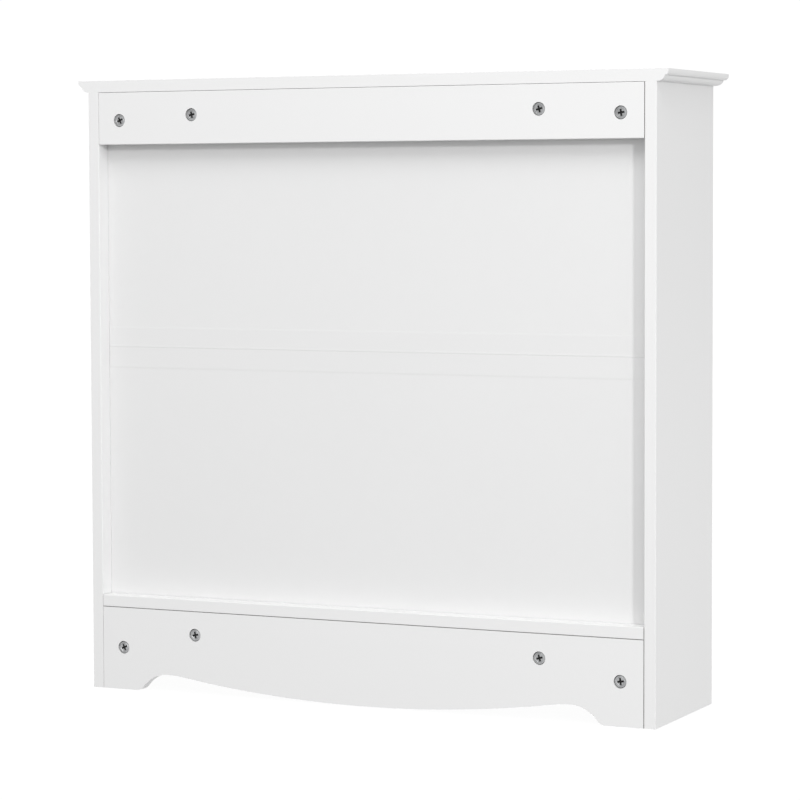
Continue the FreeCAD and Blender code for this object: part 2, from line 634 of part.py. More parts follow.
def hinge_leaf(bottom, toward, spans):
    """A leaf on the right-hand hinge line. toward is the way from the pin to the board it lies on."""
    pin = Vector(HINGE_AXIS_X, HINGE_AXIS_Y, bottom)
    face = HINGE_AXIS_X + toward * DOOR_HINGE_GAP / 2
    sheet = sorted((face, face - toward * LEAF_THICKNESS))
    start = HINGE_AXIS_Y + KNUCKLE_RADIUS + KNUCKLE_GAP
    leaf = span_box(Vector(sheet[0], start, bottom),
                    Vector(sheet[1], FRONT_Y + LEAF_REACH, bottom + HINGE_HEIGHT))
    for low, high in spans:
        knuckle = rod(pin + Z_AXIS * low, Z_AXIS, high - low, KNUCKLE_RADIUS)
        neck = span_box(Vector(sheet[0], HINGE_AXIS_Y, bottom + low), Vector(sheet[1], start, bottom + high))
        leaf = leaf.fuse([knuckle, neck])
    leaf = leaf.removeSplitter()
    leaf = leaf.cut(rod(pin, Z_AXIS, HINGE_HEIGHT, PIN_RADIUS + PIN_SLACK))
    for place_at in hinge_screw_places(bottom, toward):
        leaf = leaf.cut(place(countersunk_hole(HINGE_SCREW_LENGTH), place_at, Y_AXIS, X_AXIS * -toward))
    return leaf


def hinge_screw_places(bottom, toward):
    """The head centres of one leaf's three screws."""
    x = HINGE_AXIS_X + toward * (DOOR_HINGE_GAP / 2 - LEAF_THICKNESS)
    y = FRONT_Y + LEAF_REACH / 2
    heights = (HINGE_SCREW_MARGIN, HINGE_HEIGHT / 2, HINGE_HEIGHT - HINGE_SCREW_MARGIN)
    return [Vector(x, y, bottom + height) for height in heights]


def hinge_pin(bottom):
    """A hinge pin with a head at its top."""
    head_top = HINGE_HEIGHT + PIN_HEAD_HEIGHT
    points = [(0, 0), (0, PIN_RADIUS - PIN_CHAMFER), (PIN_CHAMFER, PIN_RADIUS), (HINGE_HEIGHT, PIN_RADIUS),
              (HINGE_HEIGHT, PIN_HEAD_RADIUS), (head_top - PIN_CHAMFER, PIN_HEAD_RADIUS),
              (head_top, PIN_HEAD_RADIUS - PIN_CHAMFER), (head_top, 0)]
    return revolve(points, Vector(HINGE_AXIS_X, HINGE_AXIS_Y, bottom), Z_AXIS, X_AXIS)


# ---------------------------------------------------------------- knob and catch
def knob():
    """The right door's knob: a flared foot, a waist and a domed head, with a blind thread."""
    origin = Vector(KNOB_X, FRONT_Y, KNOB_Z)
    bore = KNOB_SCREW_RADIUS + KNOB_SCREW_SLACK
    bore_depth = KNOB_THREAD_DEPTH + KNOB_THREAD_SLACK
    rim_radius = KNOB_RADIUS - KNOB_RIM_SWELL
    rim_top = KNOB_RIM_HEIGHT + KNOB_RIM_ROUND
    dome_height = KNOB_REACH - rim_top
    dome_radius = (rim_radius ** 2 + dome_height ** 2) / (2 * dome_height)
    half_dome = math.asin(rim_radius / dome_radius) / 2

    def at(radius, height):
        return origin + X_AXIS * radius - Y_AXIS * height

    def arc(*points):
        return Part.Arc(*[at(radius, height) for radius, height in points]).toShape()

    neck_height = (KNOB_FOOT_THICKNESS + KNOB_WAIST_HEIGHT) / 3
    flare_height = (KNOB_WAIST_HEIGHT + KNOB_RIM_HEIGHT * 2) / 3
    edges = [Part.makeLine(at(0, bore_depth), at(bore, bore_depth)),
             Part.makeLine(at(bore, bore_depth), at(bore, 0)),
             Part.makeLine(at(bore, 0), at(KNOB_FOOT_RADIUS, 0)),
             Part.makeLine(at(KNOB_FOOT_RADIUS, 0), at(KNOB_FOOT_RADIUS, KNOB_FOOT_THICKNESS)),
             arc((KNOB_FOOT_RADIUS, KNOB_FOOT_THICKNESS),
                 ((KNOB_FOOT_RADIUS + KNOB_WAIST_RADIUS * 2) / 3, neck_height),
                 (KNOB_WAIST_RADIUS, KNOB_WAIST_HEIGHT)),
             arc((KNOB_WAIST_RADIUS, KNOB_WAIST_HEIGHT),
                 ((KNOB_WAIST_RADIUS + rim_radius) / 2, flare_height),
                 (rim_radius, KNOB_RIM_HEIGHT)),
             arc((rim_radius, KNOB_RIM_HEIGHT), (KNOB_RADIUS, KNOB_RIM_HEIGHT + KNOB_RIM_ROUND / 2),
                 (rim_radius, rim_top)),
             arc((rim_radius, rim_top),
                 (dome_radius * math.sin(half_dome), KNOB_REACH - dome_radius * (1 - math.cos(half_dome))),
                 (0, KNOB_REACH)),
             Part.makeLine(at(0, KNOB_REACH), at(0, bore_depth))]
    face = Part.Face(Part.Wire(Part.__sortEdges__(edges)))
    return face.revolve(origin, -Y_AXIS, 360)


def knob_screw():
    """The screw that holds the right knob from inside the door."""
    length = DOOR_THICKNESS + KNOB_THREAD_DEPTH
    screw = pan_head(length, KNOB_SCREW_RADIUS, KNOB_HEAD_RADIUS, KNOB_HEAD_HEIGHT)
    return place(screw, Vector(KNOB_X, DOOR_BACK_Y, KNOB_Z), X_AXIS, Y_AXIS)


def catch_parts():
    """The double magnetic catch under the cap: housing, magnets, screws and the screws' holes."""
    magnet_front = DOOR_BACK_Y + STRIKE_THICKNESS + CATCH_AIR_GAP
    front = magnet_front + MAGNET_PROUD
    body_half = CATCH_BODY_WIDTH / 2
    ear_half = body_half + CATCH_EAR_WIDTH
    body = eased_box(Vector(-body_half, front, BODY_HEIGHT - CATCH_HEIGHT),
                     Vector(body_half, front + CATCH_DEPTH, BODY_HEIGHT), "y")
    ears = eased_box(Vector(-ear_half, front, BODY_HEIGHT - CATCH_EAR_THICKNESS),
                     Vector(ear_half, front + CATCH_DEPTH, BODY_HEIGHT), "z")
    housing = body.fuse(ears).removeSplitter()
    magnets = []
    screws = []
    holes = []
    for sign in SIDES.values():
        centre = Vector(sign * CATCH_X, magnet_front + MAGNET_SIZE.y / 2, CATCH_Z)
        magnets.append(span_box(centre - MAGNET_SIZE / 2, centre + MAGNET_SIZE / 2))
        room = MAGNET_SIZE / 2 + Vector(1, 1, 1) * MAGNET_SLACK
        housing = housing.cut(span_box(centre - room, centre + room))
        head = Vector(sign * (body_half + CATCH_EAR_WIDTH / 2), front + CATCH_DEPTH / 2,
                      BODY_HEIGHT - CATCH_EAR_THICKNESS)
        screws.append(place(countersunk(HINGE_SCREW_LENGTH), head, X_AXIS, -Z_AXIS))
        holes.append(place(countersunk_hole(HINGE_SCREW_LENGTH), head, X_AXIS, -Z_AXIS))
        housing = housing.cut(holes[-1])
    return housing, magnets, screws, holes


def strike_parts():
    """The right door's strike plate, its screw and the screw's hole."""
    top = min(CATCH_Z + STRIKE_HEIGHT / 2, DOOR_TOP - CATCH_LIP)
    plate = eased_box(Vector(CATCH_X - STRIKE_WIDTH / 2, DOOR_BACK_Y, top - STRIKE_HEIGHT),
                      Vector(CATCH_X + STRIKE_WIDTH / 2, DOOR_BACK_Y + STRIKE_THICKNESS, top), "y")
    head = Vector(CATCH_X, DOOR_BACK_Y + STRIKE_THICKNESS, top - STRIKE_HEIGHT / 2)
    screw = place(countersunk(STRIKE_SCREW_LENGTH), head, X_AXIS, Y_AXIS)
    hole = place(countersunk_hole(STRIKE_SCREW_LENGTH), head, X_AXIS, Y_AXIS)
    return plate.cut(hole), screw, hole


# ---------------------------------------------------------------- the whole cabinet
def carcase():
    """The boards of the case, before they are drilled."""
    rail = eased_box(Vector(-RAIL_END_X, BACK_Y - BOARD, BODY_HEIGHT - TOP_RAIL_HEIGHT),
                     Vector(RAIL_END_X, BACK_Y, BODY_HEIGHT - JOINT_GAP), "x")
    return {"top_board": top_board(), "bottom_board": bottom_board(), "back_rail_top": rail,
            "side_panel_left": side_panel(-1), "side_panel_right": side_panel(1),
            "back_rail_bottom": base_rail(BACK_Y - BOARD), "front_apron": base_rail(FRONT_Y)}


def drill(pieces, name, hole):
    """Takes a hole out of a named piece."""
    pieces[name] = pieces[name].cut(hole)


def fit_cams(boards):
    """Bores the boards for the cam locks. Returns the locks and their bolts by group."""
    groups = {"cam_bolts": []}
    for index, (group, board, mate, centre, normal, way) in enumerate(cam_joints()):
        drill(boards, board, place(cam_bores(), centre, way, normal))
        drill(boards, mate, place(bolt_pilot(), centre, way, normal))
        groups.setdefault(group, []).append(place(cam_lock(index * CAM_TURN_STEP), centre, way, normal))
        groups["cam_bolts"].append(place(cam_bolt(), centre, way, normal))
    return groups


def fit_dowels(boards):
    """Drills the boards for the dowels. Returns the dowels."""
    dowels = []
    for board, mate, centre, way in dowel_joints():
        hole = place(dowel_hole(), centre, sideways(way), way)
        drill(boards, board, hole)
        drill(boards, mate, hole)
        dowels.append(place(dowel(), centre, sideways(way), way))
    return dowels


def fit_shelf_pins(boards):
    """Drills the sides for the shelf pins. Returns the pins."""
    pins = []
    for side, sign in SIDES.items():
        for hole in shelf_holes(sign):
            drill(boards, "side_panel_" + side, hole)
        pins += [shelf_pin(sign, y) for y in shelf_pin_rows()]
    return pins


def fit_hinges(boards, door):
    """Drills the sides and the right door's stile. Returns the right door's hinge parts by group."""
    first, middle, last = knuckle_spans()
    parts = {"hinge_frame_leaves": [], "hinge_door_leaves": [], "hinge_pins": [],
             "hinge_frame_screws": [], "hinge_door_screws": []}
    for bottom in hinge_bottoms():
        parts["hinge_frame_leaves"].append(hinge_leaf(bottom, 1, [first, last]))
        parts["hinge_door_leaves"].append(hinge_leaf(bottom, -1, [middle]))
        parts["hinge_pins"].append(hinge_pin(bottom))
        for toward, group in ((1, "hinge_frame_screws"), (-1, "hinge_door_screws")):
            for head in hinge_screw_places(bottom, toward):
                hole = place(countersunk_hole(HINGE_SCREW_LENGTH), head, Y_AXIS, X_AXIS * -toward)
                parts[group].append(place(countersunk(HINGE_SCREW_LENGTH), head, Y_AXIS, X_AXIS * -toward))
                if group == "hinge_frame_screws":
                    drill(boards, "side_panel_right", hole)
                    drill(boards, "side_panel_left", mirrored(hole))
                else:
                    drill(door, "hinge_stile", hole)
    return parts


def fit_catch(boards):
    """Drills the cap for the catch. Returns the catch's parts by group."""
    housing, magnets, screws, holes = catch_parts()
    for hole in holes:
        drill(boards, "top_board", hole)
    return {"catch_housing": [housing], "catch_magnets": magnets, "catch_screws": screws}


def fit_door_fittings(door):
    """Drills the right door's meeting stile. Returns its knob and strike plate with their screws."""
    strike, strike_screw, strike_hole = strike_parts()
    drill(door, "meeting_stile", strike_hole)
    knob_foot = Vector(KNOB_X, FRONT_Y, KNOB_Z)
    knob_hole = rod(knob_foot, Y_AXIS, DOOR_THICKNESS, KNOB_SCREW_RADIUS + KNOB_SCREW_SLACK)
    drill(door, "meeting_stile", knob_hole)
    return {"strike_plate": [strike], "strike_screw": [strike_screw],
            "knob": [knob()], "knob_screw": [knob_screw()]}


def build():
    """Makes every piece. Returns node name -> list of solids."""
    boards = carcase()
    door = door_parts()
    groups = fit_cams(boards)
    groups["dowels"] = fit_dowels(boards)
    groups["shelf_pins"] = fit_shelf_pins(boards)
    groups.update(fit_catch(boards))
    right = {**fit_hinges(boards, door), **fit_door_fittings(door)}
    right = {name + "_right": shapes for name, shapes in right.items()}
    right.update({"door_right_" + name: [shape] for name, shape in door.items()})
    for name, shapes in right.items():
        groups[name] = shapes
        groups[name.replace("right", "left")] = [mirrored(shape) for shape in shapes]
    groups["shelf"] = [shelf()]
    groups["back_panel_lower"] = [back_half(PANEL_BOTTOM, FOLD_Z - FOLD_GAP / 2)]
    groups["back_panel_upper"] = [back_half(FOLD_Z + FOLD_GAP / 2, PANEL_TOP)]
    groups["fold_tape"] = [fold_tape()]
    groups.update({name: [shape] for name, shape in boards.items()})
    return groups


def main():
    os.makedirs("parts", exist_ok=True)
    for name, shapes in sorted(build().items()):
        solids = [solid for shape in shapes for solid in shape.Solids]
        if len(solids) != len(shapes) or not all(solid.isValid() for solid in solids):
            raise ValueError(name + " isn't made of whole, valid solids")
        whole = solids[0] if len(solids) == 1 else Part.makeCompound(solids)
        whole.exportStep("parts/" + name + ".step")
        box = whole.BoundBox
        print("%-28s %2d solids  volume %10.1f  x %.1f..%.1f  y %.1f..%.1f  z %.1f..%.1f" % (
            name, len(solids), whole.Volume, box.XMin, box.XMax, box.YMin, box.YMax, box.ZMin, box.ZMax))


if __name__ == "__main__":
    main()
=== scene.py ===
"""A shallow white bathroom cabinet, seen from behind: its finishes, fittings and studio."""
import json
import math

import bpy
import numpy as np
from bpy.props import FloatProperty, FloatVectorProperty, PointerProperty
from mathutils import Matrix, Vector


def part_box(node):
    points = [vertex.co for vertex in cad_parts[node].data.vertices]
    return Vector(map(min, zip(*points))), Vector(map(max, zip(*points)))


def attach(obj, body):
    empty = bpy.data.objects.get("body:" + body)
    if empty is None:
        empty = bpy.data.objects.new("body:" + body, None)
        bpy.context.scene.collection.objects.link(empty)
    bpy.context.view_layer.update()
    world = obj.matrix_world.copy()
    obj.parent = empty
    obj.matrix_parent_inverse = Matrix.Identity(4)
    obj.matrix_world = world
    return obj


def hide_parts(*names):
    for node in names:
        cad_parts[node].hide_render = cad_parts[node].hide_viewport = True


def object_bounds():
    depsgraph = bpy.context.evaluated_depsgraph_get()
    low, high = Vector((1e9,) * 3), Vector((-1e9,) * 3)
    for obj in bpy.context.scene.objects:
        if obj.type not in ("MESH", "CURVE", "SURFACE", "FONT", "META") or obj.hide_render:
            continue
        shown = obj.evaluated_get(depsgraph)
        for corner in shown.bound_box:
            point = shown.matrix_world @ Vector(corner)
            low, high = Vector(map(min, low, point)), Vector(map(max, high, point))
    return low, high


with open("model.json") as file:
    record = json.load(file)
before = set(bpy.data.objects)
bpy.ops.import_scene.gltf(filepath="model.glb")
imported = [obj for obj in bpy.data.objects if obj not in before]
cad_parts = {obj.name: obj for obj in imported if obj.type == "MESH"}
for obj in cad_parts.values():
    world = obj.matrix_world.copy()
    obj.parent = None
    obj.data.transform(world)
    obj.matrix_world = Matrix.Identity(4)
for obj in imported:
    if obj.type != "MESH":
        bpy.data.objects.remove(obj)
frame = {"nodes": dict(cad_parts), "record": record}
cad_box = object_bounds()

bl_info = {
    "name": "Bathroom cabinet",
    "version": (1, 0, 0),
    "blender": (4, 5, 0),
    "location": "3D View > Sidebar > Cabinet",
    "description": "Finishes a flat-pack bathroom cabinet and sets it in a studio",
    "category": "Object",
}

MM = 0.001
# Point attribute that marks recesses and creases, where the finishes paint shade into the colour.
SHADE_ATTRIBUTE = "hollow"


# ---------------------------------------------------------------- places read from the frame
def span(node):
    """The lowest and highest corners of a node as arrays, in metres."""
    low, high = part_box(node)
    return np.array(low), np.array(high)


def clusters(node, reach):
    """Splits a node's vertices into groups, each within reach of the group's first vertex."""
    mesh = frame["nodes"][node].data
    points = np.empty(len(mesh.vertices) * 3)
    mesh.vertices.foreach_get("co", points)
    points = points.reshape(-1, 3)
    groups = []
    while len(points):
        near = np.linalg.norm(points - points[0], axis=1) < reach
        groups.append(points[near])
        points = points[~near]
    return groups


# ---------------------------------------------------------------- mesh makers
def mesh_object(name, points, faces, hollow=None, smooth_angle=30.0):
    """A mesh object at the origin from a point array and a list of face index arrays.

    The last argument, where given, is 1 at points down in a recess or crease and 0 on open surfaces; the
    finish darkens those points as painted shade.
    """
    mesh = bpy.data.meshes.new(name)
    mesh.from_pydata(points.tolist(), [], [face.tolist() for face in faces])
    mesh.update()
    mesh.polygons.foreach_set("use_smooth", [True] * len(mesh.polygons))
    mesh.set_sharp_from_angle(angle=math.radians(smooth_angle))
    if hollow is not None:
        mesh.attributes.new(SHADE_ATTRIBUTE, "FLOAT", "POINT").data.foreach_set("value", hollow.astype(np.float32))
    piece = bpy.data.objects.new(name, mesh)
    bpy.context.scene.collection.objects.link(piece)
    return piece


def stacked_rings(radii, heights, angles):
    """Points and faces of a closed solid made of rings round Z, shut with a fan at each end.

    Ring i goes through radii[i] and heights[i] at every angle; either may change with the angle.
    The rings run from the middle of the top, outwards, down and back to the middle underneath.
    """
    count = len(angles)
    radii = np.stack([np.broadcast_to(radius, count) for radius in radii])
    heights = np.stack([np.broadcast_to(height, count) for height in heights])
    rings = np.stack([radii * np.cos(angles), radii * np.sin(angles), heights], axis=-1)
    poles = [[0, 0, heights[0].mean()], [0, 0, heights[-1].mean()]]
    points = np.concatenate([rings.reshape(-1, 3), poles])
    here = np.arange(count)
    ahead = (here + 1) % count
    first = np.arange(len(radii) - 1)[:, None] * count
    quads = np.stack([first + here, first + count + here, first + count + ahead, first + ahead], axis=-1)
    last = (len(radii) - 1) * count
    top = np.stack([np.full(count, len(points) - 2), here, ahead], axis=-1)
    under = np.stack([np.full(count, len(points) - 1), last + ahead, last + here], axis=-1)
    return points, [*quads.reshape(-1, 4), *top, *under]


def joined(parts):
    """The points and faces of several (points, faces) pairs as one pair."""
    counts = np.cumsum([0] + [len(points) for points, _ in parts])
    faces = [face + start for (_, part), start in zip(parts, counts) for face in part]
    return np.concatenate([points for points, _ in parts]), faces


def turned_to(points, origin, x_dir, z_dir):
    """Moves points from their own frame to origin, with X along x_dir and Z along z_dir."""
    return points @ np.stack([x_dir, np.cross(z_dir, x_dir), z_dir]) + origin


def eased_step(edge, width, value):
    """0 below the edge and 1 above it, with a cubic ramp of that width centred on the edge."""
    ramp = np.clip((value - edge) / width + 0.5, 0, 1)
    return ramp * ramp * (3 - 2 * ramp)


# ---------------------------------------------------------------- shader maths
class Value:
    """A socket that can be used in sums: each operator adds one Math node."""

    def __init__(self, graph, socket):
        self.graph = graph
        self.socket = socket

    def math(self, operation, *others):
        return self.graph.math(operation, self, *others)

    def __add__(self, other):
        return self.math("ADD", other)

    def __radd__(self, other):
        return self.math("ADD", other)

    def __sub__(self, other):
        return self.math("SUBTRACT", other)

    def __rsub__(self, other):
        return self.graph.math("SUBTRACT", other, self)

    def __mul__(self, other):
        return self.math("MULTIPLY", other)

    def __rmul__(self, other):
        return self.math("MULTIPLY", other)


class Graph:
    """The node tree of one material, with its Principled shader, or of the world."""

    def __init__(self, name, owners=bpy.data.materials, material=None):
        self.material = material or owners.new(name)
        self.material.use_nodes = True
        self.tree = self.material.node_tree
        self.shader = self.tree.nodes.get("Principled BSDF")

    def add(self, kind, settings=None, inputs=None):
        """A node of a kind, its settings made first, then its sockets linked or set."""
        node = self.tree.nodes.new(kind)
        for name, value in (settings or {}).items():
            if name == "stops":
                ramp = node.color_ramp
                while len(ramp.elements) < len(value):
                    ramp.elements.new(0.5)
                for element, (position, shade) in zip(ramp.elements, value):
                    element.position = position
                    element.color = (*shade, 1.0)
            else:
                setattr(node, name, value)
        for name, value in (inputs or {}).items():
            self.feed(node.inputs[name], value)
        return node

    def feed(self, socket, value):
        """Links a socket, or sets it."""
        if isinstance(value, Value):
            self.tree.links.new(value.socket, socket)
        elif isinstance(value, bpy.types.NodeSocket):
            self.tree.links.new(value, socket)
        else:
            socket.default_value = value

    def math(self, operation, *terms):
        """One Math node on values or numbers."""
        node = self.add("ShaderNodeMath", {"operation": operation}, dict(enumerate(terms)))
        return Value(self, node.outputs[0])

    def place(self, scale=(1, 1, 1)):
        """Object coordinates, stretched by scale."""
        coordinates = self.add("ShaderNodeTexCoord").outputs["Object"]
        return self.add("ShaderNodeMapping", {}, {"Vector": coordinates, "Scale": scale}).outputs[0]

    def axes(self):
        """Object coordinates as three values."""
        parts = self.add("ShaderNodeSeparateXYZ", {}, {"Vector": self.place()})
        return [Value(self, part) for part in parts.outputs]

    def noise(self, scale, detail=2.0, roughness=0.5, stretch=(1, 1, 1)):
        """Fractal noise, about 0 to 1, with scale features to a metre."""
        inputs = {"Vector": self.place(stretch), "Scale": scale, "Detail": detail, "Roughness": roughness}
        return Value(self, self.add("ShaderNodeTexNoise", {}, inputs).outputs[0])

    def mix(self, factor, first, second):
        """A colour between two colours."""
        node = self.add("ShaderNodeMix", {"data_type": "RGBA"})
        self.feed(node.inputs[0], factor)
        self.feed(node.inputs[6], first)
        self.feed(node.inputs[7], second)
        return node.outputs[2]

    def hollow(self):
        """How much painted shade the surface gets in a recess or crease, from the mesh's own attribute."""
        return Value(self, self.add("ShaderNodeAttribute", {"attribute_name": SHADE_ATTRIBUTE}).outputs["Fac"])

    def bump(self, height, strength, distance):
        """A normal from a height, in metres at full height."""
        inputs = {"Height": height, "Strength": strength, "Distance": distance}
        return self.add("ShaderNodeBump", {}, inputs).outputs[0]

    def finish(self, **sockets):
        """Feeds the Principled shader and returns the material."""
        for name, value in sockets.items():
            self.feed(self.shader.inputs[name.replace("_", " ")], value)
        return self.material


def rgb(colour, factor=1.0):
    """A colour with alpha, made lighter or darker by factor."""
    return (*[min(1.0, part * factor) for part in colour], 1.0)


# ---------------------------------------------------------------- settings
class CabinetFinishSettings(bpy.types.PropertyGroup):
    """Colours and surface sizes of the finishes."""

    paint: FloatVectorProperty(
        name="Paint", description="Satin lacquer on the boards", subtype="COLOR",
        default=(0.83, 0.83, 0.83), min=0, max=1)
    hardboard: FloatVectorProperty(
        name="Back panel", description="Printed coating on the thin back panel", subtype="COLOR",
        default=(0.79, 0.79, 0.79), min=0, max=1)
    tape: FloatVectorProperty(
        name="Tape", description="Film of the hinge tape", subtype="COLOR",
        default=(0.785, 0.785, 0.785), min=0, max=1)
    zinc: FloatVectorProperty(
        name="Zinc", description="Cast zinc of the cam locks", subtype="COLOR",
        default=(0.38, 0.385, 0.39), min=0, max=1)
    nickel: FloatVectorProperty(
        name="Nickel", description="Satin nickel of the knobs and hinges", subtype="COLOR",
        default=(0.62, 0.60, 0.56), min=0, max=1)
    steel: FloatVectorProperty(
        name="Steel", description="Plated steel of the screws, bolts and pins", subtype="COLOR",
        default=(0.60, 0.60, 0.61), min=0, max=1)
    beech: FloatVectorProperty(
        name="Beech", description="Wood of the dowels", subtype="COLOR",
        default=(0.56, 0.38, 0.22), min=0, max=1)
    plastic: FloatVectorProperty(
        name="Catch", description="Moulded plastic of the catch", subtype="COLOR",
        default=(0.76, 0.76, 0.74), min=0, max=1)
    peel: FloatProperty(
        name="Orange peel", description="Height of the lacquer's fine ripple", unit="LENGTH",
        default=0.02 * MM, min=0, max=MM, precision=6)
    paint_roughness: FloatProperty(
        name="Paint roughness", description="How matt the lacquer is", subtype="FACTOR",
        default=0.36, min=0, max=1)


class CabinetHardwareSettings(bpy.types.PropertyGroup):
    """Sizes of the pieces that stand in for plain parts of the model."""

    cam_edge: FloatProperty(
        name="Cam edge", description="Width of the bevel round a cam lock's face", unit="LENGTH",
        default=0.35 * MM, min=0, max=MM)
    ring_radius: FloatProperty(
        name="Ring radius", description="Outer radius of the raised ring round the cross recess",
        unit="LENGTH", default=4.5 * MM, min=MM, max=6 * MM)
    ring_width: FloatProperty(
        name="Ring width", description="Width of the raised ring", unit="LENGTH",
        default=0.75 * MM, min=0, max=2 * MM)
    ring_height: FloatProperty(
        name="Ring height", description="Height of the raised ring", unit="LENGTH",
        default=0.35 * MM, min=0, max=MM)
    cross_length: FloatProperty(
        name="Cross arm length", description="Reach of each arm of the cross recess from its middle",
        unit="LENGTH", default=3.4 * MM, min=MM, max=4 * MM)
    cross_width: FloatProperty(
        name="Cross arm width", description="Width of each arm of the cross recess",
        unit="LENGTH", default=1.9 * MM, min=0, max=2 * MM)
    cross_depth: FloatProperty(
        name="Cross depth", description="Depth of the cross recess", unit="LENGTH",
        default=1.5 * MM, min=0, max=4 * MM)
    cross_turn: FloatProperty(
        name="Cross turn", description="Turn of the first cam's cross; each next one differs a little",
        unit="ROTATION", default=math.radians(18))
    tape_ripple: FloatProperty(
        name="Tape ripple", description="Height of the waves where the tape has lifted",
        unit="LENGTH", default=0.012 * MM, min=0, max=MM, precision=5)
    knob_turned: FloatProperty(
        name="Knob turning marks", description="Depth of the fine rings on the knob's face",
        unit="LENGTH", default=0.006 * MM, min=0, max=MM, precision=6)


class CabinetStudioSettings(bpy.types.PropertyGroup):
    """The camera and the lights."""

    camera_place: FloatVectorProperty(
        name="Camera", description="Where the camera stands", subtype="TRANSLATION", unit="LENGTH",
        default=(-1.3211, 2.8415, 0.5150))
    camera_yaw: FloatProperty(
        name="Yaw", description="Turn of the camera from straight at the back", unit="ROTATION",
        default=math.radians(25.655))
    camera_pitch: FloatProperty(
        name="Pitch", description="How far the camera looks down", unit="ROTATION",
        default=math.radians(3.436))
    camera_roll: FloatProperty(
        name="Roll", description="Lean of the camera", unit="ROTATION", default=math.radians(-0.235))
    lens: FloatProperty(
        name="Lens", description="Focal length on a 36 mm frame, in millimetres",
        default=137.6, min=20, max=300)
    shift: FloatVectorProperty(
        name="Shift", description="Lens shift across and up, as shares of the frame", size=2,
        default=(0.047, -0.028))
    key_power: FloatProperty(
        name="Key light", description="Power of the light on the camera's right", unit="POWER",
        default=57, min=0)
    fill_power: FloatProperty(
        name="Fill light", description="Power of the wide light above the camera", unit="POWER",
        default=39, min=0)
    front_power: FloatProperty(
        name="Front light", description="Power of the light on the doors", unit="POWER", default=38, min=0)
    sky: FloatProperty(
        name="Surroundings", description="Brightness of the white surroundings above", default=0.75, min=0)
    ground: FloatProperty(
        name="Surroundings below", description="Brightness of the white surroundings below",
        default=0.49, min=0)


# ---------------------------------------------------------------- finishes
PAINT_FILM = 0.05 * MM
# Unpainted fibreboard, made darker than bare board as painted shade in the joint gaps.
FIBREBOARD_AND_PAINTED_SHADE = (0.075, 0.06, 0.05, 1.0)
# Share of the tape's colour left along its crease, which is painted shade.
CREASE_PAINTED_SHADE = 0.97
# Share of the zinc's colour left in the cam locks' recesses, which are painted shade.
RECESS_PAINTED_SHADE = 0.01


def satin_lacquer(name, colour, settings):
    """Sprayed satin lacquer on fibreboard: a fine orange peel, soft roller tone and even sheen."""
    graph = Graph(name)
    tone = graph.noise(3.2, detail=3, roughness=0.55)
    fleck = graph.noise(900, detail=2, roughness=0.6)
    peel = graph.noise(420, detail=2, roughness=0.45)
    shade = graph.mix(tone * 0.7 + fleck * 0.3, rgb(colour, 0.985), rgb(colour, 1.012))
    gloss = tone * 0.08 + fleck * 0.05 + (settings.paint_roughness - 0.065)
    normal = graph.bump(peel, 0.35, settings.peel)
    return graph.finish(Base_Color=shade, Roughness=gloss, Normal=normal)


def unpainted_and_shaded_ends(graph):
    """1 where the boards are left unpainted, hidden in the joints: the ends of the rails and of the bottom
    board, and the upper edges of the rails. The finish colours these faces darker than bare fibreboard, as
    painted shade in the joint gaps.
    """
    across, _, height = graph.axes()
    across = across.math("ABSOLUTE")
    end, _, top = span("back_rail_top")[1].tolist()
    base_top = float(span("back_rail_bottom")[1][2])
    unpainted_and_shaded = (across.math("COMPARE", end, PAINT_FILM) + height.math("COMPARE", top, PAINT_FILM)
           + height.math("COMPARE", base_top, PAINT_FILM))
    inside = across.math("LESS_THAN", end + 2 * PAINT_FILM) * height.math("LESS_THAN", top + 2 * PAINT_FILM)
    return unpainted_and_shaded * inside


def board_lacquer(name, colour, settings):
    """The carcase boards' lacquer, with unpainted fibreboard inside the joints, darkened further as painted
    shade in the joint gaps.
    """
    material = satin_lacquer(name, colour, settings)
    graph = Graph(name, material=material)
    lacquer = graph.shader.inputs["Base Color"].links[0].from_socket
    # Painted shade: the joint faces take the dark fibreboard colour.
    return graph.finish(Base_Color=graph.mix(unpainted_and_shaded_ends(graph), lacquer, FIBREBOARD_AND_PAINTED_SHADE))


def coated_hardboard(name, colour, settings):
    """Paper-faced thin board: pressed-fibre mottle under a duller print coat."""
    graph = Graph(name)
    mottle = graph.noise(70, detail=4, roughness=0.6)
    cloud = graph.noise(2.6, detail=2, roughness=0.5)
    fibre = graph.noise(260, detail=3, roughness=0.65, stretch=(0.35, 1, 1))
    shade = graph.mix(mottle * 0.35 + cloud * 0.65, rgb(colour, 0.975), rgb(colour, 1.02))
    normal = graph.bump(fibre, 0.3, settings.peel * 1.5)
    return graph.finish(Base_Color=shade, Roughness=mottle * 0.1 + 0.45, Normal=normal)


def hinge_tape(name, colour, settings):
    """Clear-backed white film: glossier than the board, with trapped paler and darker patches and a painted
    shade line along the crease.
    """
    graph = Graph(name)
    patch = graph.noise(24, detail=3, roughness=0.6, stretch=(0.25, 1, 1))
    streak = graph.noise(90, detail=2, roughness=0.5, stretch=(0.1, 1, 1))
    film = graph.mix(patch * 0.6 + streak * 0.4, rgb(colour, 0.985), rgb(colour, 1.015))
    # Painted shade: the colour is darkened along the crease at the fold.
    shade = graph.mix(graph.hollow(), film, rgb(colour, CREASE_PAINTED_SHADE))
    normal = graph.bump(streak, 0.15, settings.peel)
    return graph.finish(Base_Color=shade, Roughness=patch * 0.1 + 0.36, Coat_Weight=0.15, Normal=normal)


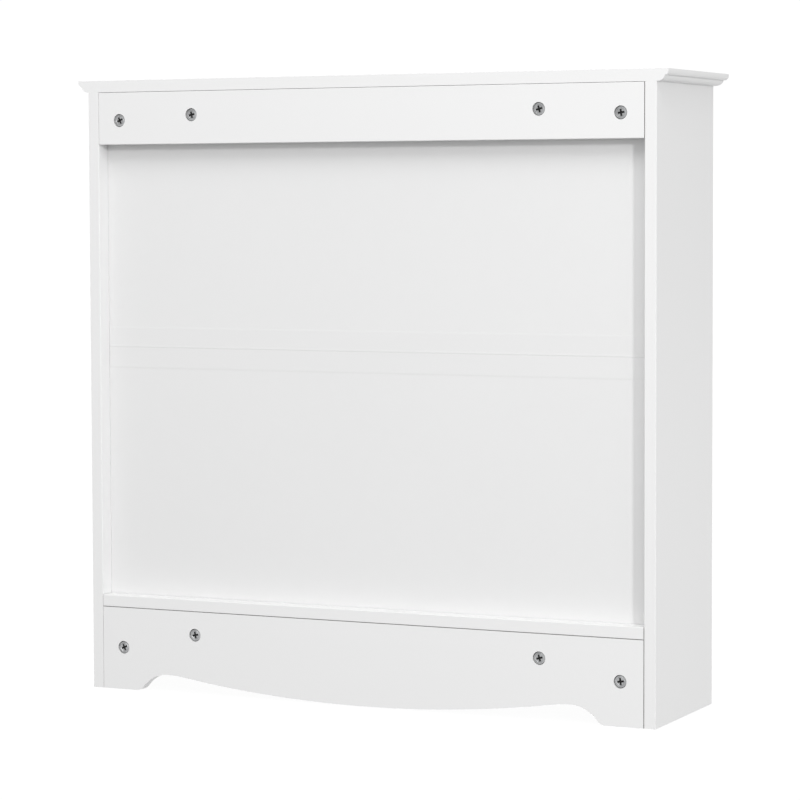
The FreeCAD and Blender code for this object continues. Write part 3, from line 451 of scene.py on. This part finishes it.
def cast_zinc(name, colour, settings):
    """Die-cast zinc: a dull grey skin with fine pits and brighter rubbed patches; its recesses get painted
    shade, near black and not metallic.
    """
    graph = Graph(name)
    hollow = graph.hollow()
    skin = graph.noise(650, detail=4, roughness=0.65)
    stain = graph.noise(210, detail=3, roughness=0.6)
    dust = graph.noise(2600, detail=2, roughness=0.5)
    metal = graph.mix(stain * 0.6 + skin * 0.4, rgb(colour, 0.45), rgb(colour, 1.85))
    # Painted shade: the cross recess, the rim's lower bevel and the drum are painted almost black.
    shade = graph.mix(hollow, metal, rgb(colour, RECESS_PAINTED_SHADE))
    normal = graph.bump(skin + dust * 0.5, 0.6, settings.peel * 2)
    return graph.finish(Base_Color=shade, Roughness=stain * 0.25 + 0.26 + hollow * 0.3,
                        Metallic=0.9 - hollow * 0.9, Normal=normal)


def satin_nickel(name, colour, settings):
    """Brushed and plated nickel: hair lines along X over a soft bright metal."""
    graph = Graph(name)
    hair = graph.noise(1400, detail=3, roughness=0.6, stretch=(0.06, 1, 1))
    haze = graph.noise(60, detail=2, roughness=0.5)
    shade = graph.mix(haze * 0.5 + hair * 0.5, rgb(colour, 0.93), rgb(colour, 1.05))
    normal = graph.bump(hair, 0.3, settings.peel * 0.5)
    return graph.finish(Base_Color=shade, Roughness=hair * 0.14 + 0.2, Metallic=1.0, Normal=normal)


def plated_steel(name, colour, settings):
    """Bright zinc-plated steel: a cool sheen with faint bluish clouds and drawn marks."""
    graph = Graph(name)
    cloud = graph.noise(340, detail=2, roughness=0.5)
    drawn = graph.noise(1100, detail=3, roughness=0.6)
    cool = (colour[0] * 0.93, colour[1] * 0.97, colour[2] * 1.05, 1.0)
    shade = graph.mix(cloud, cool, rgb(colour, 1.05))
    normal = graph.bump(drawn, 0.4, settings.peel * 0.5)
    return graph.finish(Base_Color=shade, Roughness=cloud * 0.15 + 0.18, Metallic=1.0, Normal=normal)


def beech_wood(name, colour, settings):
    """Fluted beech dowel: fine pores and pale flecks along the grain."""
    graph = Graph(name)
    grain = graph.noise(520, detail=4, roughness=0.6, stretch=(0.2, 0.2, 1))
    fleck = graph.noise(1500, detail=2, roughness=0.5, stretch=(0.4, 1, 1))
    shade = graph.mix(grain * 0.75 + fleck * 0.25, rgb(colour, 0.72), rgb(colour, 1.25))
    normal = graph.bump(grain, 0.5, settings.peel * 3)
    return graph.finish(Base_Color=shade, Roughness=grain * 0.15 + 0.5, Normal=normal)


def moulded_plastic(name, colour, settings):
    """Injection-moulded plastic: fine spark-eroded texture and a slightly waxy sheen."""
    graph = Graph(name)
    spark = graph.noise(1200, detail=3, roughness=0.6)
    flow = graph.noise(45, detail=2, roughness=0.5)
    shade = graph.mix(flow, rgb(colour, 0.97), rgb(colour, 1.02))
    normal = graph.bump(spark, 0.5, settings.peel)
    return graph.finish(Base_Color=shade, Roughness=spark * 0.12 + 0.34, Normal=normal)


def ferrite(name, colour, settings):
    """Sintered magnet: near-black, dense and slightly sparkling."""
    graph = Graph(name)
    grit = graph.noise(1800, detail=3, roughness=0.7)
    worn = graph.noise(260, detail=2, roughness=0.5)
    shade = graph.mix(worn * 0.5 + grit * 0.5, rgb(colour, 0.6), rgb(colour, 1.6))
    normal = graph.bump(grit, 0.6, settings.peel)
    return graph.finish(Base_Color=shade, Roughness=worn * 0.2 + 0.5, Metallic=0.2, Normal=normal)


FERRITE_GREY = (0.035, 0.034, 0.036)


def finish_name(slot):
    """The name of the finish that a material slot is given."""
    return "finish_" + slot


class CABINET_OT_finishes(bpy.types.Operator):
    """Makes every finish and gives it to the parts of its material slot"""

    bl_idname = "cabinet.finishes"
    bl_label = "Apply finishes"

    def execute(self, context):
        settings = context.scene.cabinet_finish
        recipes = {
            "painted_board": (board_lacquer, settings.paint),
            "painted_door": (satin_lacquer, settings.paint),
            "painted_hardboard": (coated_hardboard, settings.hardboard),
            "tape": (hinge_tape, settings.tape),
            "zinc": (cast_zinc, settings.zinc),
            "plated_steel": (plated_steel, settings.steel),
            "dowel_wood": (beech_wood, settings.beech),
            "hinge_steel": (satin_nickel, settings.nickel),
            "pin_steel": (plated_steel, settings.steel),
            "catch_plastic": (moulded_plastic, settings.plastic),
            "magnet": (ferrite, FERRITE_GREY),
            "knob_metal": (satin_nickel, settings.nickel),
        }
        finishes = {slot: recipe(finish_name(slot), colour, settings)
                    for slot, (recipe, colour) in recipes.items()}
        for part in frame["record"]["subparts"]:
            for slot in frame["nodes"][part["node"]].material_slots:
                slot.material = finishes[part["material_slot"]]
        return {"FINISHED"}


def fit(piece, body, slot, *nodes):
    """Gives a new piece its finish and its body, in place of CAD nodes."""
    piece.data.materials.append(bpy.data.materials[finish_name(slot)])
    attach(piece, body)
    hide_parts(*nodes)


# ---------------------------------------------------------------- cam locks
CAM_GROUPS = ("cam_locks_back_top", "cam_locks_back_bottom", "cam_locks_apron", "cam_locks_sides")
CAM_REACH = 22 * MM
BOLT_REACH = 36 * MM
CAM_WALL = 1.2 * MM
CAM_ROOF = 2.0 * MM
BOLT_ROOM = 2.3 * MM
BOLT_AXIS_DROP = 5.2 * MM
BEVEL_SHARE = 0.9
TURN_SPREAD = math.radians(20)
TURN_STEP = 2.4
CORNER_REACH = 1.6
CORNER_EASE = 0.6


def cross_outline(angle, turn, length, half_width):
    """The radius of a cross recess at each angle: the arm's round end or its straight flank,
    whichever is nearer the middle, with the inner corners eased.
    """
    off_arm = np.abs((angle - turn + np.pi / 4) % (np.pi / 2) - np.pi / 4)
    flank = half_width / np.maximum(np.sin(off_arm), half_width / length)
    corner = half_width * CORNER_REACH
    return np.minimum(flank, length) + np.maximum(corner - flank, 0) * CORNER_EASE


def cross_angles(turn, length, half_width):
    """Angles round a cross, closer together at the corners of its arms."""
    tip = math.asin(half_width / length)
    flank = tip + (np.pi / 4 - tip) * np.linspace(0, 1, 8) ** 1.6
    quarter = np.concatenate([-flank[:0:-1], np.linspace(-tip, tip, 7), flank[1:-1]])
    return (turn + np.arange(4)[:, None] * np.pi / 2 + quarter).ravel()


def cam_lock(settings, radius, depth, turn):
    """A cam lock with its ring's top on the XY plane and its mouth towards +X.

    Round the Z axis its radius and height run up out of a cross recess, over a flat face with a
    raised round ring, over the bevelled rim, down the drum and back up inside it. The drum's lower edge
    rises with an eased step where the bolt comes in.
    """
    arm = settings.cross_length
    half_width = settings.cross_width / 2
    angles = cross_angles(turn, arm, half_width)
    cross = cross_outline(angles, turn, arm, half_width)
    ring = settings.ring_radius
    inner = ring - settings.ring_width
    face = -settings.ring_height
    pit = face - settings.cross_depth
    bevel = settings.cam_edge
    soft = bevel / 3
    mouth = 1 - eased_step(BOLT_ROOM, MM, np.abs(radius * np.sin(angles)))
    mouth = mouth * (np.cos(angles) > 0)
    edge = -depth + (depth - BOLT_AXIS_DROP + BOLT_ROOM) * mouth
    roof = face - CAM_ROOF
    steps = [(cross * 0.55, pit), (cross * 0.9, pit + soft), (cross * 0.97, face - bevel),
             (cross, face - soft), (cross + soft, face), (inner - soft, face), (inner, face + soft),
             (inner + soft, -soft), (inner + 2 * soft, 0), (ring - 2 * soft, 0), (ring - soft, -soft),
             (ring, face + soft), (ring + soft, face), (radius - bevel, face),
             (radius - soft, face - soft), (radius, face - bevel), (radius, edge),
             (radius - CAM_WALL, edge), (radius - CAM_WALL, roof), (radius / 2, roof)]
    return stacked_rings([step[0] for step in steps], [step[1] for step in steps], angles)


def cam_group(settings, node, bolts):
    """Every cam lock of a CAD node, each turned to its own bolt: points, faces and the marks for painted
    shade.
    """
    parts = []
    painted_shades = []
    for index, points in enumerate(clusters(node, CAM_REACH)):
        middle = (points.min(0) + points.max(0)) / 2
        size = points.max(0) - points.min(0)
        axis = 0 if node == "cam_locks_sides" else 1
        normal = np.zeros(3)
        normal[axis] = 1.0 if axis == 1 else -np.sign(middle[0])
        way = bolts[np.argmin(np.linalg.norm(bolts - middle, axis=1))] - middle
        way[axis] = 0
        way = np.round(way / np.linalg.norm(way))
        radius = np.delete(size, axis).max() / 2
        face = middle + normal * size[axis] / 2
        turn = settings.cross_turn + TURN_SPREAD * ((index * TURN_STEP) % 1.0 - 0.5)
        made, faces = cam_lock(settings, radius, size[axis], turn)
        parts.append((turned_to(made, face, way, normal), faces))
        # Points below the face's bevel, in the cross recess and down the drum, are marked for painted
        # shade.
        painted_shades.append(made[:, 2] < -settings.ring_height - settings.cam_edge * BEVEL_SHARE)
    return *joined(parts), np.concatenate(painted_shades)


class CABINET_OT_cam_locks(bpy.types.Operator):
    """Builds the cast cam locks with their rings and cross recesses"""

    bl_idname = "cabinet.cam_locks"
    bl_label = "Build cam locks"

    def execute(self, context):
        settings = context.scene.cabinet_hardware
        bolts = np.array([(group.min(0) + group.max(0)) / 2 for group in clusters("cam_bolts", BOLT_REACH)])
        for node in CAM_GROUPS:
            piece = mesh_object(node.replace("cam_locks", "cast_cams"), *cam_group(settings, node, bolts))
            fit(piece, "cabinet", "zinc", node)
        return {"FINISHED"}


# ---------------------------------------------------------------- fold tape
TAPE_COLUMNS = 600
TAPE_ROWS = 65
ROW_CROWDING = 1.5
CREASE_WIDTH = 0.5 * MM
CREASE_DEPTH = 0.08 * MM
RIDGE_OFFSET = 1.3 * MM
RIDGE_WIDTH = 0.9 * MM
RIDGE_HEIGHT = 0.14 * MM
WAVES = ((71, 160, 0.0), (33, -310, 1.3), (147, 0, 0.7))
EDGE_FILM = 0.35
EDGE_PLACE = 0.6 * MM
EDGE_RAMP = 1.2 * MM


def tape_sheet(settings):
    """The hinge tape as a thin closed sheet over a grid in X and Z.

    Its outer face stands off the panel by its thickness plus a sum of long low sine waves, less a
    bell-shaped crease along the fold, with a lower bell-shaped ridge just above the crease. All of
    it fades to a thin film at the four edges. The inner face lies on the panel.
    """
    low, high = span("fold_tape")
    x = np.linspace(low[0], high[0], TAPE_COLUMNS)[:, None]
    fold = (low[2] + high[2]) / 2
    row = np.linspace(-1, 1, TAPE_ROWS)[None, :]
    z = fold + np.sign(row) * np.abs(row) ** ROW_CROWDING * (high[2] - low[2]) / 2
    waves = sum(np.sin(x * along + z * up + start) for along, up, start in WAVES) / len(WAVES)
    crease = np.exp(-((z - fold) / CREASE_WIDTH) ** 2)
    ridge = np.exp(-((z - fold - RIDGE_OFFSET) / RIDGE_WIDTH) ** 2)
    near_edge = np.minimum(np.minimum(x - low[0], high[0] - x), np.minimum(z - low[2], high[2] - z))
    film = EDGE_FILM + (1 - EDGE_FILM) * eased_step(EDGE_PLACE, EDGE_RAMP, near_edge)
    lift = (high[1] - low[1]) + settings.tape_ripple * waves - CREASE_DEPTH * crease + RIDGE_HEIGHT * ridge
    outer = low[1] + lift * film
    grid_x = np.broadcast_to(x, outer.shape)
    grid_z = np.broadcast_to(z, outer.shape)
    front = np.stack([grid_x, outer, grid_z], axis=-1).reshape(-1, 3)
    back = front * (1, 0, 1) + (0, low[1], 0)
    number = np.arange(outer.size).reshape(outer.shape)
    corners = [number[:-1, :-1], number[1:, :-1], number[1:, 1:], number[:-1, 1:]]
    under = np.stack(corners, axis=-1).reshape(-1, 4) + outer.size
    over = np.stack(corners[::-1], axis=-1).reshape(-1, 4)
    rim = np.concatenate([number[:, 0], number[-1, 1:], number[-2::-1, -1], number[0, -2:0:-1]])
    ahead = np.roll(rim, -1)
    wall = np.stack([rim, ahead, ahead + outer.size, rim + outer.size], axis=-1)
    # The crease's bell marks the outer face for painted shade; the inner face gets none.
    hollow = np.concatenate([np.broadcast_to(crease, outer.shape).ravel(), np.zeros(outer.size)])
    return np.concatenate([front, back]), [*over, *under, *wall], hollow


class CABINET_OT_fold_tape(bpy.types.Operator):
    """Builds the creased hinge tape across the back panel"""

    bl_idname = "cabinet.fold_tape"
    bl_label = "Build fold tape"

    def execute(self, context):
        piece = mesh_object("creased_tape", *tape_sheet(context.scene.cabinet_hardware), smooth_angle=60)
        fit(piece, "cabinet", "tape", "fold_tape")
        return {"FINISHED"}


# ---------------------------------------------------------------- knobs
KNOB_SIDES = 96
CURVE_STEPS = 14
TURNING_RINGS = 16
DOME_EDGE = 0.7
DOME_FADE = 0.2
KNOB_CONTROL = ((0.0, 1.0), (0.55, 0.995), (0.86, 0.93), (0.955, 0.85), (1.0, 0.755), (0.965, 0.675),
                (0.80, 0.60), (0.56, 0.50), (0.40, 0.385), (0.385, 0.27), (0.46, 0.13), (0.575, 0.065),
                (0.60, 0.035), (0.60, 0.0))


def knob_profile(settings, radius, reach):
    """The knob's outline from the middle of its dome to its foot, as arrays of radius and height.

    A Catmull-Rom curve runs through the control points, which are shares of the knob's radius and
    reach, and fine turning rings are a sine along the dome.
    """
    points = np.array(KNOB_CONTROL)
    ends = np.concatenate([points[:1] * (-1, 1) + (-0.2, 0), points, points[-1:] * 2 - points[-2:-1]])
    before, start, end, after = ends[:-3], ends[1:-2], ends[2:-1], ends[3:]
    t = np.linspace(0, 1, CURVE_STEPS)[:-1, None, None]
    curve = 0.5 * (2 * start + (end - before) * t + (2 * before - 5 * start + 4 * end - after) * t ** 2
                   + (3 * start - before - 3 * end + after) * t ** 3)
    curve = np.swapaxes(curve, 0, 1).reshape(-1, 2)
    across = np.clip(curve[:, 0], 0.0, 1.0)[1:]
    high = np.clip(curve[:, 1], 0.0, 1.0)[1:]
    on_dome = eased_step(DOME_EDGE, DOME_FADE, high)
    rings = np.sin(across * 2 * np.pi * TURNING_RINGS) * on_dome * settings.knob_turned
    return across * radius, high * reach - np.maximum(rings, 0)


def knob(settings, node):
    """A turned knob where its CAD node is: its profile carried round the door's normal."""
    low, high = span(node)
    radius = (high[0] - low[0]) / 2
    reach = high[1] - low[1]
    across, heights = knob_profile(settings, radius, reach)
    angles = 2 * np.pi * np.arange(KNOB_SIDES) / KNOB_SIDES
    points, faces = stacked_rings(list(across), list(heights), angles)
    foot = (low + high) / 2 + np.array([0, reach / 2, 0])
    return turned_to(points, foot, np.array([1.0, 0, 0]), np.array([0, -1.0, 0])), faces


class CABINET_OT_knobs(bpy.types.Operator):
    """Builds the turned metal knobs of both doors"""

    bl_idname = "cabinet.knobs"
    bl_label = "Build knobs"

    def execute(self, context):
        settings = context.scene.cabinet_hardware
        for side in ("left", "right"):
            piece = mesh_object("turned_knob_" + side, *knob(settings, "knob_" + side))
            fit(piece, "door_" + side, "knob_metal", "knob_" + side)
        return {"FINISHED"}


# ---------------------------------------------------------------- studio
FLOOR_SIZE = 9.0
FLOOR_CELLS = 48
FLOOR_NEAR = 0.9
FLOOR_FADE = 0.8
FLOOR_GLOW = 0.93
FLOOR_DROP = 0.3 * MM
FLOOR_DARKER = (0.86, 0.86, 0.86, 1.0)
FLOOR_LIGHTER = (0.9, 0.9, 0.9, 1.0)
KEY_TURN = math.radians(48)
KEY_RISE = math.radians(15)
KEY_DISTANCE = 4.5
KEY_SIZE = 0.35
FILL_TURN = math.radians(20)
FILL_RISE = math.radians(50)
FILL_DISTANCE = 3.3
FILL_SIZE = 1.6
HORIZON = 0.15
BACKDROP = 1.03
FRONT_TURN = math.radians(212)
FRONT_RISE = math.radians(28)


def floor_finish(glow):
    """Pale paper floor that fades into the white surroundings away from the cabinet."""
    graph = Graph("studio_floor")
    speck = graph.noise(60, detail=3, roughness=0.6)
    shade = graph.mix(speck, FLOOR_DARKER, FLOOR_LIGHTER)
    graph.finish(Base_Color=shade, Roughness=speck * 0.1 + 0.6)
    distance = graph.add("ShaderNodeVectorMath", {"operation": "LENGTH"}, {0: graph.place()})
    far = graph.add("ShaderNodeMapRange", {"interpolation_type": "SMOOTHSTEP"}, {
        "Value": distance.outputs["Value"], "From Min": FLOOR_NEAR, "From Max": FLOOR_NEAR + FLOOR_FADE,
        "To Min": FLOOR_GLOW, "To Max": 1.0})
    light = graph.add("ShaderNodeEmission", {}, {"Color": (1, 1, 1, 1), "Strength": glow})
    blend = graph.add("ShaderNodeMixShader", {}, {
        0: far.outputs[0], 1: graph.shader.outputs[0], 2: light.outputs[0]})
    output = graph.tree.nodes["Material Output"]
    graph.tree.links.new(blend.outputs[0], output.inputs["Surface"])
    return graph.material


def make_floor():
    """A square floor: a level grid in X and Y, a little under the feet."""
    side = np.linspace(-FLOOR_SIZE, FLOOR_SIZE, FLOOR_CELLS + 1)
    x, y = np.meshgrid(side, side, indexing="ij")
    points = np.stack([x, y, np.full_like(x, -FLOOR_DROP)], axis=-1).reshape(-1, 3)
    number = np.arange(x.size).reshape(x.shape)
    corners = [number[:-1, :-1], number[1:, :-1], number[1:, 1:], number[:-1, 1:]]
    floor = mesh_object("floor", points, [*np.stack(corners, axis=-1).reshape(-1, 4)])
    floor.data.materials.append(floor_finish(BACKDROP))
    floor.visible_diffuse = False


def area_light(name, turn, rise, distance, size, power):
    """A square soft light aimed at the cabinet's middle. turn runs from straight behind it to -X."""
    lamp = bpy.data.lights.new(name, "AREA")
    lamp.shape = "SQUARE"
    lamp.size = size
    lamp.energy = power
    light = bpy.data.objects.new(name, lamp)
    bpy.context.scene.collection.objects.link(light)
    way = Vector((-math.sin(turn) * math.cos(rise), math.cos(turn) * math.cos(rise), math.sin(rise)))
    light.location = (cad_box[0] + cad_box[1]) / 2 + way * distance
    light.rotation_euler = (-way).to_track_quat("-Z", "Y").to_euler()


def make_world(settings):
    """White surroundings that the camera sees bright and the boards feel softly, less from below."""
    graph = Graph("surroundings", bpy.data.worlds)
    way = graph.add("ShaderNodeTexCoord").outputs["Generated"]
    height = graph.add("ShaderNodeSeparateXYZ", {}, {"Vector": way}).outputs["Z"]
    glow = graph.add("ShaderNodeMapRange", {}, {
        "Value": height, "From Min": -HORIZON, "From Max": HORIZON,
        "To Min": settings.ground, "To Max": settings.sky}).outputs[0]
    seen = graph.add("ShaderNodeLightPath").outputs["Is Camera Ray"]
    brightness = graph.add("ShaderNodeMapRange", {}, {
        "Value": seen, "To Min": glow, "To Max": BACKDROP}).outputs[0]
    background = graph.tree.nodes["Background"]
    graph.feed(background.inputs["Color"], (1, 1, 1, 1))
    graph.feed(background.inputs["Strength"], brightness)
    bpy.context.scene.world = graph.material


def make_camera(settings):
    """A long-lens camera behind the cabinet, on the side of its left door."""
    yaw, pitch, roll = settings.camera_yaw, settings.camera_pitch, settings.camera_roll
    ahead = Vector((math.sin(yaw) * math.cos(pitch), -math.cos(yaw) * math.cos(pitch), -math.sin(pitch)))
    right = Vector((-math.cos(yaw), -math.sin(yaw), 0))
    above = right.cross(ahead)
    across = right * math.cos(roll) + above * math.sin(roll)
    up = above * math.cos(roll) - right * math.sin(roll)
    data = bpy.data.cameras.new("camera")
    data.lens = settings.lens
    data.sensor_width = 36
    data.shift_x, data.shift_y = settings.shift
    camera = bpy.data.objects.new("camera", data)
    camera.matrix_world = Matrix.Translation(settings.camera_place) @ Matrix(
        (across, up, -ahead)).transposed().to_4x4()
    bpy.context.scene.collection.objects.link(camera)
    bpy.context.scene.camera = camera


class CABINET_OT_studio(bpy.types.Operator):
    """Sets the cabinet on a pale floor with soft light and the camera"""

    bl_idname = "cabinet.studio"
    bl_label = "Build studio"

    def execute(self, context):
        settings = context.scene.cabinet_studio
        make_floor()
        make_world(settings)
        make_camera(settings)
        area_light("key", KEY_TURN, KEY_RISE, KEY_DISTANCE, KEY_SIZE, settings.key_power)
        area_light("fill", FILL_TURN, FILL_RISE, FILL_DISTANCE, FILL_SIZE, settings.fill_power)
        area_light("front", FRONT_TURN, FRONT_RISE, FILL_DISTANCE, FILL_SIZE, settings.front_power)
        context.scene.view_settings.view_transform = "Standard"
        return {"FINISHED"}


# ---------------------------------------------------------------- panel and add-on
class CABINET_PT_panel(bpy.types.Panel):
    """The cabinet's steps and settings"""

    bl_idname = "CABINET_PT_panel"
    bl_label = "Bathroom cabinet"
    bl_space_type = "VIEW_3D"
    bl_region_type = "UI"
    bl_category = "Cabinet"

    def draw(self, context):
        for step in STEPS:
            self.layout.operator(step.bl_idname)
        for settings in (context.scene.cabinet_finish, context.scene.cabinet_hardware,
                         context.scene.cabinet_studio):
            box = self.layout.box()
            for name in settings.__annotations__:
                box.prop(settings, name)


STEPS = (CABINET_OT_finishes, CABINET_OT_cam_locks, CABINET_OT_fold_tape, CABINET_OT_knobs,
         CABINET_OT_studio)
GROUPS = {"cabinet_finish": CabinetFinishSettings, "cabinet_hardware": CabinetHardwareSettings,
          "cabinet_studio": CabinetStudioSettings}
CLASSES = (*GROUPS.values(), *STEPS, CABINET_PT_panel)


def register():
    for item in CLASSES:
        bpy.utils.register_class(item)
    for name, group in GROUPS.items():
        setattr(bpy.types.Scene, name, PointerProperty(type=group))


def unregister():
    for name in GROUPS:
        delattr(bpy.types.Scene, name)
    for item in reversed(CLASSES):
        bpy.utils.unregister_class(item)


def main():
    """Runs every step in order."""
    register()
    bpy.ops.cabinet.finishes()
    bpy.ops.cabinet.cam_locks()
    bpy.ops.cabinet.fold_tape()
    bpy.ops.cabinet.knobs()
    bpy.ops.cabinet.studio()


if __name__ == "__main__":
    main()
